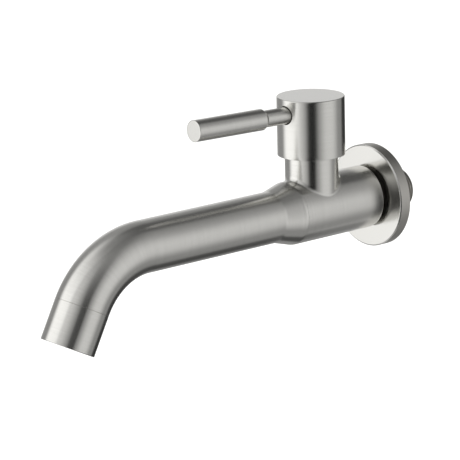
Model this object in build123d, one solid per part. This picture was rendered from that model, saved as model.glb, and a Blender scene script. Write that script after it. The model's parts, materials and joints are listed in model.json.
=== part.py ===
from build123d import *
import math
import os

# A wall-mounted cold-water basin tap in brushed stainless steel. Millimetres.
# +Z is up, +Y runs into the wall and the spout points along -Y.
# The origin is on the inlet axis, in the plane of the finished wall.

# Fits and clearances
seat_play = 0.05            # radial play of a piece turned to fit its seat
shaft_play = 0.05           # radial play of the turning spindle in its bore
stack_play = 0.05           # end play between pieces stacked on one axis
seal_play = 0.02            # an O-ring to the wall it wipes

# Inlet nipple, G 1/2 male, drawn at the crest of its thread
inlet_thread_radius = 10.4775
inlet_length = 18.0         # how far the nipple stands behind the wall plane
inlet_chamfer = 1.0
shank_relief = 0.68         # plain shank between the body and the thread
waterway_radius = 7.5
waterway_step = 2.1         # how far the wide bore runs in front of the body's end
connector_depth = 12.1      # length of the plug that closes the body tube

# Wall flange, a shallow turned cup
flange_radius = 26.3
flange_depth = 6.3
flange_front_wall = 1.6
flange_rim_wall = 2.2
flange_edge = 0.6
flange_hole_gap = 0.52      # loose over the thread
flange_boss_wall = 3.2
flange_boss_setback = 1.0   # the boss stops short of the wall
flange_ring_section = 1.2   # half the thickness of the rubber ring in the boss
flange_gap = 2.2            # open slot between the flange and the body tube

# Cartridge thread, G 1/2, and the walls round it that set the neck, cap and body
cartridge_thread_radius = 10.4775
housing_wall = 1.4225
neck_wall = 1.5
cap_gap = 1.9
cap_wall = 1.7
saddle_shoulder = 2.5       # body radius over neck radius
body_wall = 1.5

# Body tube and neck
neck_offset = 43.0          # wall plane to the neck axis
neck_height = 33.0          # inlet axis to the neck's rim
neck_blend = 2.5            # polished weld between neck and body
seam_margin = 0.1
body_edge = 0.5

# Spout
spout_radius = 13.0
spout_wall = 1.5
collar_length = 0.95
cone_length = 11.0
collar_land = 0.05          # plain end of the collar, before the cone's soft corner
bend_start = 151.8          # wall plane to the start of the bend
bend_radius = 42.1
bend_angle = 62.5
tip_radius = 13.5           # the tube opens out a little through the bend
tip_length = 20.6

# Outlet sleeve, its threaded bush and the aerator
bush_depth = 6.0            # how far the bush stands inside the spout
bush_reach = 8.0            # how far its thread stands in the sleeve
bush_wall = 2.0
outlet_thread_step = 0.2
lip_width = 1.5
lip_height = 1.6
tip_edge = 0.25
aerator_play = 0.3
aerator_seal_height = 1.4
screen_thickness = 0.4
screen_hole_radius = 0.8
screen_hole_pitch = 2.6
screen_hole_rings = 3
jet_plate_height = 1.5
jet_radius = 0.9
jet_count = 12
aerator_wall = 1.6
straightener_height = 4.6
straightener_setback = 0.8
cell_pitch = 3.4
cell_wall = 0.6
cell_rings = 3

# Feed tube between the inlet plug and the valve housing
feed_radius = 5.0
feed_wall = 0.8
socket_depth = 5.5
plug_socket_depth = 8.0
feed_ring_section = 0.45
feed_ring_groove = 0.8

# Valve housing
seat_floor = 2.45
block_floor = 3.95
block_gap = 0.67
shoulder_rise = 0.5         # housing shoulder above the seat
window_rise = 1.2           # outlet window above the seat
window_height = 4.3
window_width = 12.0

# Cartridge, from the seat upwards
barrel_annulus = 1.45       # water space round the barrel
barrel_wall = 0.8
barrel_lift = 0.5
seal_height = 1.9
seal_width = 3.0
disc_thickness = 3.0
disc_play = 0.2
disc_land = 2.2
disc_rim = 1.2
disc_window_angle = 80.0
chamber_height = 5.2
outlet_window_angle = 70.0
outlet_window_rise = 0.6
outlet_window_height = 4.2
collar_height = 2.4
collar_step = 2.0
slip_washer_thickness = 0.5
thread_engagement = 11.0
thread_chamfer = 0.6
gasket_height = 1.0
gasket_width = 1.9
hex_shoulder = 0.5225
hex_height = 6.0
quarter_turn = 90.0

# Spindle and what rides on it
spindle_radius = 4.0
blade_width = 2.8
blade_margin = 2.0
blade_depth = 1.5
driver_height = 2.1
spindle_ring_section = 0.65
ring_groove_play = 0.15
lower_ring_rise = 4.4
ring_spacing = 5.0
stop_wall = 1.6
stop_lug_reach = 1.8
stop_thickness = 1.5
stop_height = 2.2
stop_rim_wall = 2.1
stop_gap = 0.3
stop_lug_angle = 84.0
stop_lug_middle = -90.0     # direction of the lug when the tap is shut
stop_slack = 1.0            # degrees left at each end of the quarter turn
clip_thickness = 0.8
clip_groove = 0.6
clip_width = 1.7
clip_opening = 60.0
clip_middle = 90.0          # direction of the side away from the clip's opening
clip_lift = 0.15
spline_teeth = 20
spline_tooth = 0.4

# Handle
cap_overlap = 5.0           # how far the cap hangs over the neck
cap_height = 29.8
cap_top = 2.0
cap_edge = 0.4
lever_drop = 8.0            # cap top down to the lever's axis
lever_rise = 1.24           # degrees
hub_play = 0.24
hub_height = 11.0
spline_depth = 5.9
socket_relief = 0.4
screw_radius = 2.0
screw_hole_gap = 0.2
screw_grip = 7.0            # thread length in the spindle
screw_head_radius = 3.5
screw_head_height = 2.4
screw_web = 1.4
screw_socket_flat = 2.5
screw_socket_depth = 1.4
head_gap = 0.5

# Lever, measured along its own axis from the neck axis
stem_radius = 4.27
stem_hole_gap = 0.43
stem_seat_depth = 0.75
stem_seat_gap = 0.2
stem_thread_radius = 3.0
stem_thread_length = 7.6
stem_spigot_length = 15.0
grip_radius = 5.4
grip_start = 31.1
grip_taper = 1.7
grip_end = 75.4
grip_edge = 0.35
bore_relief = 1.0

# Worked out from the sizes above
shank_radius = inlet_thread_radius - shank_relief
flange_hole = inlet_thread_radius + flange_hole_gap
body_end = -(flange_depth + flange_gap)
neck_bore = cartridge_thread_radius + housing_wall + 2 * seat_play
neck_radius = neck_bore + neck_wall
cap_bore = neck_radius + cap_gap
cap_radius = cap_bore + cap_wall
body_radius = neck_radius + saddle_shoulder
body_bore = body_radius - body_wall
body_front = -(neck_offset + neck_radius + neck_blend + seam_margin)
spout_bore = spout_radius - spout_wall
tip_bore = tip_radius - spout_wall
cone_end = body_front - collar_length - cone_length
cone_slope = math.atan2(body_radius - spout_radius, cone_length)
cone_blend = (collar_length - collar_land) / math.tan(cone_slope / 2)
plug_face = body_end - connector_depth
plug_socket = plug_face + plug_socket_depth

feed_bore = feed_radius - feed_wall
socket_radius = feed_radius + seat_play
seat_height = socket_radius + seat_floor
block_low = -(socket_radius + block_floor)
block_radius = math.sqrt((body_bore - block_gap) ** 2 - block_low ** 2)
housing_radius = neck_bore - seat_play
housing_bore = cartridge_thread_radius + seat_play

barrel_radius = cartridge_thread_radius - barrel_annulus
barrel_bore = barrel_radius - barrel_wall
disc_radius = barrel_bore - disc_play
fixed_low = seat_height + seal_height
moving_low = fixed_low + disc_thickness
disc_top = moving_low + disc_thickness
collar_low = disc_top + chamber_height
collar_high = collar_low + collar_height
collar_radius = spindle_radius + collar_step
washer_low = collar_high + stack_play
shoulder_height = washer_low + slip_washer_thickness + stack_play
thread_low = neck_height - thread_engagement
hex_low = neck_height + gasket_height
hex_high = hex_low + hex_height
hex_flat_radius = cartridge_thread_radius + hex_shoulder
spindle_bore = spindle_radius + shaft_play

stop_low = hex_high + stop_gap
stop_ring_radius = spindle_radius + stop_wall
stop_lug_radius = stop_ring_radius + stop_lug_reach
stop_rim_bore = stop_ring_radius + stop_gap
stop_rim_radius = stop_rim_bore + stop_rim_wall
clip_low = stop_low + stop_thickness + clip_lift
clip_root = spindle_radius - clip_groove

cap_low = neck_height - cap_overlap
cap_high = cap_low + cap_height
cap_ceiling = cap_high - cap_top
lever_height = cap_high - lever_drop
hub_radius = cap_bore - seat_play
hub_high = cap_ceiling - hub_play
hub_low = hub_high - hub_height
spindle_high = hub_low + spline_depth
head_low = spindle_high + socket_relief + screw_web
stem_seat = hub_radius - stem_seat_depth
stem_hole = stem_radius + stem_hole_gap

bush_bore = tip_bore - seat_play - bush_wall
outlet_thread_radius = tip_bore - outlet_thread_step
sleeve_bore = outlet_thread_radius + seat_play
lip_low = tip_length - lip_height
lip_bore = sleeve_bore - lip_width
aerator_radius = sleeve_bore - aerator_play
aerator_bore = aerator_radius - aerator_wall
aerator_seal_low = bush_reach + stack_play
screen_low = aerator_seal_low + aerator_seal_height
jet_plate_low = screen_low + screen_thickness

# Places: each turned piece is drawn round its own Z axis and set down here
inlet_place = Location((0, 0, 0), (-90, 0, 0))
neck_place = Location((0, -neck_offset, 0))
lever_place = Location((0, -neck_offset, lever_height), (90 - lever_rise, 0, 0))
bend_turn = math.radians(bend_angle)
bend_end_y = -(bend_start + bend_radius * math.sin(bend_turn))
bend_end_z = -bend_radius * (1 - math.cos(bend_turn))
tip_place = Location((0, bend_end_y, bend_end_z), (90 + bend_angle, 0, 0))


# Shapes that many pieces share


def turned(*corners):
    """A solid of revolution about Z from the corners (radius, height) of its section."""
    line = Polyline(*[(radius, 0, height) for radius, height in corners], close=True)
    return revolve(make_face(line), Axis.Z)


def ring(outer, inner, low, high):
    return turned((inner, low), (outer, low), (outer, high), (inner, high))


def rod(radius, low, high):
    flush = (Align.CENTER, Align.CENTER, Align.MIN)
    return Pos(0, 0, low) * Cylinder(radius, high - low, align=flush)


def block(length, width, low, high):
    flush = (Align.CENTER, Align.CENTER, Align.MIN)
    return Pos(0, 0, low) * Box(length, width, high - low, align=flush)


def sector(outer, inner, low, high, middle, spread):
    """Part of a ring, spread degrees wide, with its middle at an angle from +X."""
    line = Polyline((inner, 0, low), (outer, 0, low), (outer, 0, high), (inner, 0, high), close=True)
    wedge = revolve(make_face(line), Axis.Z, spread)
    return Rot(0, 0, middle - spread / 2) * wedge


def o_ring(inner, section, height):
    return Pos(0, 0, height) * Torus(inner + section, section)


def hexagon_bar(flat_radius, low, high):
    face = Plane.XY.offset(low) * RegularPolygon(flat_radius, 6, major_radius=False)
    return extrude(face, high - low)


def honeycomb(pitch, rings):
    """Centres of a hexagonal pattern, row by row."""
    rise = pitch * math.sqrt(3) / 2
    spots = []
    for row in range(-rings, rings + 1):
        count = 2 * rings + 1 - abs(row)
        for step in range(count):
            spots.append(((step - (count - 1) / 2) * pitch, row * rise))
    return spots


def spline_bar(radius, low, high):
    """A bar with straight teeth, its crests at the radius."""
    root = radius - spline_tooth
    outline = []
    for tooth in range(spline_teeth):
        for quarter, reach in ((0, radius), (1, radius), (2, root), (3, root)):
            turn = 2 * math.pi * (tooth + quarter / 4) / spline_teeth
            outline.append((reach * math.cos(turn), reach * math.sin(turn), low))
    return extrude(make_face(Polyline(*outline, close=True)), high - low, dir=(0, 0, 1))


# Wall flange


def wall_flange():
    back_floor = -flange_depth + flange_front_wall
    boss_radius = flange_hole + flange_boss_wall
    boss_high = -flange_boss_setback
    rim_bore = flange_radius - flange_rim_wall
    cup = turned(
        (flange_hole, -flange_depth),
        (flange_radius - flange_edge, -flange_depth),
        (flange_radius, -flange_depth + flange_edge),
        (flange_radius, 0),
        (rim_bore, 0),
        (rim_bore, back_floor),
        (boss_radius, back_floor),
        (boss_radius, boss_high),
        (flange_hole, boss_high),
    )
    return inlet_place * (cup - flange_groove())


def flange_ring_height():
    return (-flange_depth + flange_front_wall - flange_boss_setback) / 2


def flange_groove():
    """Room in the boss for the rubber ring that grips the nipple."""
    outer = shank_radius + 2 * (seal_play + flange_ring_section)
    middle = flange_ring_height()
    half = flange_ring_section + seal_play
    return ring(outer, shank_radius, middle - half, middle + half)


def flange_grip_ring():
    inner = shank_radius + seal_play
    return inlet_place * o_ring(inner, flange_ring_section, flange_ring_height())


# Inlet plug with its nipple, and the tube that feeds the valve


def feed_groove(middle):
    outer = feed_radius + seal_play + 2 * feed_ring_section + seal_play
    half = feed_ring_groove
    return ring(outer, feed_radius, middle - half, middle + half)


def plug_ring_middle():
    return plug_face + plug_socket_depth / 2


def inlet_connector():
    plug_radius = body_bore - seat_play
    step = body_end - waterway_step
    turned_plug = turned(
        (waterway_radius, inlet_length),
        (inlet_thread_radius - inlet_chamfer, inlet_length),
        (inlet_thread_radius, inlet_length - inlet_chamfer),
        (inlet_thread_radius, 0),
        (shank_radius, 0),
        (shank_radius, body_end),
        (plug_radius, body_end),
        (plug_radius, plug_face),
        (socket_radius, plug_face),
        (socket_radius, plug_socket),
        (feed_bore, plug_socket),
        (feed_bore, step),
        (waterway_radius, step),
    )
    return inlet_place * (turned_plug - feed_groove(plug_ring_middle()))


def block_face():
    """Where the side of the housing's block faces the inlet."""
    return -neck_offset + block_radius


def feed_end():
    return block_face() - socket_depth


def feed_tube():
    return inlet_place * ring(feed_radius, feed_bore, feed_end() + stack_play, plug_socket - stack_play)


def housing_ring_middle():
    return block_face() - socket_depth / 2


def feed_o_rings():
    inner = feed_radius + seal_play
    spots = (plug_ring_middle(), housing_ring_middle())
    return Compound([inlet_place * o_ring(inner, feed_ring_section, spot) for spot in spots])


# Body tube with its neck, welded and polished into one piece


def tap_body():
    tube = inlet_place * rod(body_radius, body_front, body_end)
    neck = neck_place * rod(neck_radius, 0, neck_height)
    outside = tube + neck
    joints = [edge for edge in outside.edges() if edge.geom_type not in (GeomType.LINE, GeomType.CIRCLE)]
    outside = fillet(joints, neck_blend)
    rims = outside.edges().filter_by(GeomType.CIRCLE).group_by(Axis.Y)[-1]
    outside = chamfer(rims, body_edge)
    outside -= inlet_place * rod(body_bore, body_front, body_end)
    return outside - neck_place * rod(neck_bore, 0, neck_height)


def valve_housing():
    shoulder = seat_height + shoulder_rise
    shell = turned(
        (0, block_low),
        (block_radius, block_low),
        (block_radius, shoulder),
        (housing_radius, shoulder),
        (housing_radius, neck_height),
        (housing_bore, neck_height),
        (housing_bore, seat_height),
        (0, seat_height),
    )
    port = rod(feed_bore, 0, seat_height)
    window_low = seat_height + window_rise
    window = block(window_width, neck_radius, window_low, window_low + window_height)
    window = Pos(0, -neck_radius / 2 - barrel_radius / 2, 0) * window
    shell = neck_place * (shell - port - window)
    passage = rod(feed_bore, -neck_offset, feed_end())
    socket = rod(socket_radius, feed_end(), block_face() + block_floor)
    return shell - inlet_place * (passage + socket + feed_groove(housing_ring_middle()))


# Cartridge with ceramic discs


def seat_seal():
    outer = disc_radius
    return neck_place * ring(outer, outer - seal_width, seat_height, fixed_low)


def disc_windows(middle):
    """The two openings of a ceramic disc, on opposite sides, as cutters at height zero."""
    outer = disc_radius - disc_rim
    cutters = [
        sector(outer, disc_land, -stack_play, disc_thickness + stack_play, middle + side, disc_window_angle)
        for side in (0, 180)
    ]
    return cutters[0] + cutters[1]


def fixed_disc():
    disc = rod(disc_radius, 0, disc_thickness) - disc_windows(0)
    return neck_place * (Pos(0, 0, fixed_low) * disc)


def blade_length():
    return 2 * (disc_radius - blade_margin)


def moving_disc():
    disc = rod(disc_radius, 0, disc_thickness) - disc_windows(quarter_turn)
    slot_length = blade_length() + 2 * seat_play
    slot_width = blade_width + 2 * seat_play
    disc -= block(slot_length, slot_width, disc_thickness - blade_depth - stack_play, disc_thickness)
    return neck_place * (Pos(0, 0, moving_low) * disc)


def cartridge_body():
    barrel_low = seat_height + barrel_lift
    collar_bore = collar_radius + stop_gap
    barrel = turned(
        (barrel_bore, barrel_low),
        (barrel_radius, barrel_low),
        (barrel_radius, thread_low),
        (cartridge_thread_radius - thread_chamfer, thread_low),
        (cartridge_thread_radius, thread_low + thread_chamfer),
        (cartridge_thread_radius, hex_low),
        (stop_rim_radius, hex_low),
        (stop_rim_radius, hex_high),
        (spindle_bore, hex_high),
        (spindle_bore, shoulder_height),
        (collar_bore, shoulder_height),
        (collar_bore, collar_low),
        (barrel_bore, collar_low),
    )
    nut = hexagon_bar(hex_flat_radius, hex_low, hex_high)
    nut -= rod(spindle_bore, hex_low, hex_high)
    window_low = disc_top + outlet_window_rise
    window_high = window_low + outlet_window_height
    window_outer = barrel_radius + seat_play
    piece = barrel + nut + stop_rim()
    for side in (0, 180):
        piece -= sector(window_outer, collar_radius, window_low, window_high, side, outlet_window_angle)
    return neck_place * piece


def stop_travel():
    """Degrees that the stop lug needs clear of the rim."""
    return stop_lug_angle + quarter_turn + 2 * stop_slack


def stop_rim():
    """The raised arc on top of the nut that ends the quarter turn."""
    travel_middle = stop_lug_middle + quarter_turn / 2
    high = hex_high + stop_height
    return sector(stop_rim_radius, stop_rim_bore, hex_high, high, travel_middle + 180, 360 - stop_travel())


def bonnet_gasket():
    inner = cartridge_thread_radius + seal_play
    return neck_place * ring(inner + gasket_width, inner, neck_height, hex_low)


def slip_washer():
    inner = spindle_radius + stack_play
    return neck_place * ring(collar_radius, inner, washer_low, washer_low + slip_washer_thickness)


# Spindle and the pieces that turn with it


def ring_spots():
    lower = shoulder_height + lower_ring_rise
    return lower, lower + ring_spacing


def spindle():
    blade_low = disc_top - blade_depth
    blade = block(blade_length(), blade_width, blade_low, disc_top + driver_height)
    shaft = rod(spindle_radius, disc_top + driver_height, hub_low)
    shaft += rod(collar_radius, collar_low, collar_high)
    shaft += spline_bar(spindle_radius, hub_low, spindle_high)
    shaft += blade
    root = spindle_bore - seal_play - 2 * spindle_ring_section
    half = spindle_ring_section + ring_groove_play
    for spot in ring_spots():
        shaft -= ring(spindle_radius + seat_play, root, spot - half, spot + half)
    shaft -= ring(spindle_radius + seat_play, clip_root, clip_low, clip_low + clip_thickness)
    shaft -= rod(screw_radius + seat_play, spindle_high - screw_grip - bore_relief, spindle_high)
    return neck_place * shaft


def spindle_o_rings():
    inner = spindle_bore - seal_play - 2 * spindle_ring_section
    return Compound([neck_place * o_ring(inner, spindle_ring_section, spot) for spot in ring_spots()])


def stop_washer():
    inner = spindle_radius + seat_play
    high = stop_low + stop_thickness
    washer = ring(stop_ring_radius, inner, stop_low, high)
    washer += sector(stop_lug_radius, inner, stop_low, high, stop_lug_middle, stop_lug_angle)
    return neck_place * washer


def spindle_clip():
    outer = clip_root + clip_width
    inner = clip_root + seat_play
    low = clip_low + seat_play
    high = clip_low + clip_thickness - seat_play
    return neck_place * sector(outer, inner, low, high, clip_middle, 360 - clip_opening)


# Handle cap, its hub and the screw that holds the hub


def handle_cap():
    cup = turned(
        (0, cap_high),
        (cap_radius - cap_edge, cap_high),
        (cap_radius, cap_high - cap_edge),
        (cap_radius, cap_low),
        (cap_bore, cap_low),
        (cap_bore, cap_ceiling),
        (0, cap_ceiling),
    )
    return neck_place * cup - lever_place * rod(stem_hole, stem_seat - stem_radius, cap_radius + stem_radius)


def handle_hub():
    hub = rod(hub_radius, hub_low, hub_high)
    hub -= spline_bar(spindle_radius + seat_play, hub_low, spindle_high + socket_relief)
    hub -= rod(screw_radius + screw_hole_gap, hub_low, hub_high)
    hub -= rod(screw_head_radius + head_gap, head_low, hub_high)
    hub = neck_place * hub
    thread_start = stem_seat - stem_thread_length - bore_relief
    hub -= lever_place * rod(stem_thread_radius + seat_play, thread_start, hub_radius)
    return hub - lever_place * rod(stem_radius + stem_seat_gap, stem_seat, cap_radius)


def hub_screw():
    shank_low = spindle_high - screw_grip
    head_high = head_low + screw_head_height
    screw = rod(screw_radius, shank_low, head_low) + rod(screw_head_radius, head_low, head_high)
    screw -= hexagon_bar(screw_socket_flat / 2, head_high - screw_socket_depth, head_high)
    return neck_place * screw


# Lever


def lever_stem():
    stem = turned(
        (0, stem_seat - stem_thread_length),
        (stem_thread_radius, stem_seat - stem_thread_length),
        (stem_thread_radius, stem_seat),
        (stem_radius, stem_seat),
        (stem_radius, grip_start),
        (stem_thread_radius, grip_start),
        (stem_thread_radius, grip_start + stem_spigot_length),
        (0, grip_start + stem_spigot_length),
    )
    return lever_place * stem


def lever_grip():
    bore = stem_thread_radius + seat_play
    bore_end = grip_start + stem_spigot_length + bore_relief
    grip = turned(
        (bore, grip_start),
        (stem_radius + seat_play, grip_start),
        (grip_radius, grip_start + grip_taper),
        (grip_radius, grip_end - grip_edge),
        (grip_radius - grip_edge, grip_end),
        (0, grip_end),
        (0, bore_end),
        (bore, bore_end),
    )
    return lever_place * grip


# Spout: a flared collar, a cone, a long straight run and one bend that opens out


def spout_line(wall):
    """The side of the straight run, set in from the outside by a wall thickness."""
    return FilletPolyline(
        (body_radius - wall, 0, body_front),
        (body_radius - wall, 0, body_front - collar_length),
        (spout_radius - wall, 0, cone_end),
        (spout_radius - wall, 0, -bend_start),
        radius=cone_blend,
    )


def bend_middle():
    """A point half-way round the bend's centre line."""
    half_turn = bend_turn / 2
    reach = bend_start + bend_radius * math.sin(half_turn)
    return 0, -reach, -bend_radius * (1 - math.cos(half_turn))


def bend(start_radius, end_radius):
    """A solid round the bend's centre line, from one radius to another."""
    line = ThreePointArc((0, -bend_start, 0), bend_middle(), tip_place.position)
    ends = [Plane.XZ.offset(bend_start) * Circle(start_radius), tip_place * Circle(end_radius)]
    return sweep(ends, path=line, multisection=True)


def spout_tube():
    outside = spout_line(0)
    inside = spout_line(spout_wall)
    ends = [Line(outside @ 0, inside @ 0), Line(outside @ 1, inside @ 1)]
    straight = inlet_place * revolve(make_face([outside, inside, *ends]), Axis.Z)
    return straight + (bend(spout_radius, tip_radius) - bend(spout_bore, tip_bore))


def spout_bush():
    """The threaded bush welded inside the spout's end, tapered to clear the bend."""
    outer = tip_bore - seat_play
    flare = (tip_radius - spout_radius) * bush_depth / (bend_radius * bend_turn)
    taper = bend_radius - math.sqrt(bend_radius ** 2 - bush_depth ** 2) + flare
    bush = turned(
        (bush_bore, -bush_depth),
        (outer - taper, -bush_depth),
        (outer, 0),
        (outlet_thread_radius, 0),
        (outlet_thread_radius, bush_reach),
        (bush_bore, bush_reach),
    )
    return tip_place * bush


# Outlet sleeve and aerator


def outlet_sleeve():
    sleeve = turned(
        (sleeve_bore, 0),
        (tip_radius, 0),
        (tip_radius, tip_length - tip_edge),
        (tip_radius - tip_edge, tip_length),
        (lip_bore, tip_length),
        (lip_bore, lip_low),
        (sleeve_bore, lip_low),
    )
    return tip_place * sleeve


def aerator_seal():
    return tip_place * ring(aerator_radius, bush_bore, aerator_seal_low, screen_low)


def aerator_screen():
    screen = rod(aerator_radius, screen_low, jet_plate_low)
    spots = honeycomb(screen_hole_pitch, screen_hole_rings)
    hole = rod(screen_hole_radius, screen_low, jet_plate_low)
    return tip_place * (screen - [Pos(x, y) * hole for x, y in spots])


def aerator_body():
    plate_high = jet_plate_low + jet_plate_height
    cup = ring(aerator_radius, aerator_bore, jet_plate_low, lip_low)
    cup += rod(aerator_radius, jet_plate_low, plate_high)
    circle = aerator_bore - 2 * jet_radius
    jets = PolarLocations(circle, jet_count) * rod(jet_radius, jet_plate_low, plate_high)
    return tip_place * (cup - jets)


def flow_straightener():
    low = tip_length - straightener_setback - straightener_height
    high = tip_length - straightener_setback
    outer = min(aerator_bore, lip_bore) - seat_play
    comb = rod(outer, low, high)
    cell = hexagon_bar((cell_pitch - cell_wall) / 2, low, high)
    cells = [Pos(x, y) * cell for x, y in honeycomb(cell_pitch, cell_rings)]
    kept = rod(outer - cell_wall, low, high)
    return tip_place * (comb - [cell & kept for cell in cells])


pieces = {
    "wall_flange": wall_flange,
    "flange_grip_ring": flange_grip_ring,
    "inlet_connector": inlet_connector,
    "feed_tube": feed_tube,
    "feed_o_rings": feed_o_rings,
    "tap_body": tap_body,
    "valve_housing": valve_housing,
    "seat_seal": seat_seal,
    "fixed_disc": fixed_disc,
    "moving_disc": moving_disc,
    "cartridge_body": cartridge_body,
    "bonnet_gasket": bonnet_gasket,
    "slip_washer": slip_washer,
    "spindle": spindle,
    "spindle_o_rings": spindle_o_rings,
    "stop_washer": stop_washer,
    "spindle_clip": spindle_clip,
    "handle_cap": handle_cap,
    "handle_hub": handle_hub,
    "hub_screw": hub_screw,
    "lever_stem": lever_stem,
    "lever_grip": lever_grip,
    "spout_tube": spout_tube,
    "spout_bush": spout_bush,
    "outlet_sleeve": outlet_sleeve,
    "aerator_seal": aerator_seal,
    "aerator_screen": aerator_screen,
    "aerator_body": aerator_body,
    "flow_straightener": flow_straightener,
}

os.makedirs("parts", exist_ok=True)
for name, make in pieces.items():
    export_step(make(), f"parts/{name}.step")
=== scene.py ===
import json
import math

import bmesh
import bpy
from mathutils import Matrix, Vector


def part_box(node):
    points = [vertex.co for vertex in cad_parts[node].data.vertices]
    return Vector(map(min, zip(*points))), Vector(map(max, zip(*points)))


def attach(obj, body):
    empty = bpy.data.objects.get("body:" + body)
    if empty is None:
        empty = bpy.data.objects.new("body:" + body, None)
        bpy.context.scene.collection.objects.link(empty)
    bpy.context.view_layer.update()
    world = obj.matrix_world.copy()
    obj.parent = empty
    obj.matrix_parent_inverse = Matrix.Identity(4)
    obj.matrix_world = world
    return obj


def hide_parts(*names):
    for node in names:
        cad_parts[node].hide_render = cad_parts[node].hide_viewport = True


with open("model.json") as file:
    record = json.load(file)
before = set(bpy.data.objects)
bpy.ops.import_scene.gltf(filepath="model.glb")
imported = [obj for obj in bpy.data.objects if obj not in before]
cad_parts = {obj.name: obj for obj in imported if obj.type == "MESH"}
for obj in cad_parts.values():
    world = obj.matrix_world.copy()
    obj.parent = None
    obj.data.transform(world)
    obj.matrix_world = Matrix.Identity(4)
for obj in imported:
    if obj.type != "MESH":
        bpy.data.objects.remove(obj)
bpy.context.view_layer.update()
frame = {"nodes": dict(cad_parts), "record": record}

bl_info = {
    "name": "Wall-mounted basin tap",
    "version": (1, 0, 0),
    "blender": (4, 5, 0),
    "location": "3D View > Sidebar > Tap",
    "description": "Builds the looks of a brushed stainless basin tap round its CAD frame",
    "category": "Object",
}

MM = 0.001
TURN = 2 * math.pi
BRUSH_MAP = "brush"         # UV map: turns along the brushing, metres across it

FLANGE_LOW, FLANGE_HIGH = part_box("wall_flange")
BODY_LOW, BODY_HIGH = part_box("tap_body")
CAP_LOW, CAP_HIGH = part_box("handle_cap")
NIPPLE_LOW, NIPPLE_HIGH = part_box("inlet_connector")
NECK_Y = (CAP_LOW.y + CAP_HIGH.y) / 2

# Steps across and along a wall with an opening in it, and from the opening out to its frame
WALL_ACROSS = 96
WALL_ALONG = 72
WALL_OUTWARD = 14
SADDLE_SPREAD = TURN / 4    # the body's frame round the neck reaches this far to each side

MATH = "ShaderNodeMath"
MAP_RANGE = "ShaderNodeMapRange"
# Noise between these values is stretched over a whole range, and the rest stays at its ends
NOISE_SPAN = {"From Min": 0.3, "From Max": 0.7}


def number(name, description, default, **options):
    return bpy.props.FloatProperty(name=name, description=description, default=default, **options)


def length(name, description, millimetres):
    return number(name, description, millimetres * MM, unit="LENGTH", precision=5)


def angle(name, description, degrees):
    return number(name, description, math.radians(degrees), subtype="ANGLE")


def share(name, description, default):
    return number(name, description, default, min=0, max=1, subtype="FACTOR")


def power(name, description, watts):
    return number(name, description, watts, unit="POWER", precision=5)


def colour(name, description, code):
    return bpy.props.FloatVectorProperty(
        name=name, description=description, default=linear(code), size=4, subtype="COLOR", min=0, max=1
    )


def linear(code):
    """The linear colour of an sRGB hex code such as #C9C7C3."""
    channels = [int(code[place:place + 2], 16) / 255 for place in (1, 3, 5)]
    return (*[c / 12.92 if c <= 0.04045 else ((c + 0.055) / 1.055) ** 2.4 for c in channels], 1.0)


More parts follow.
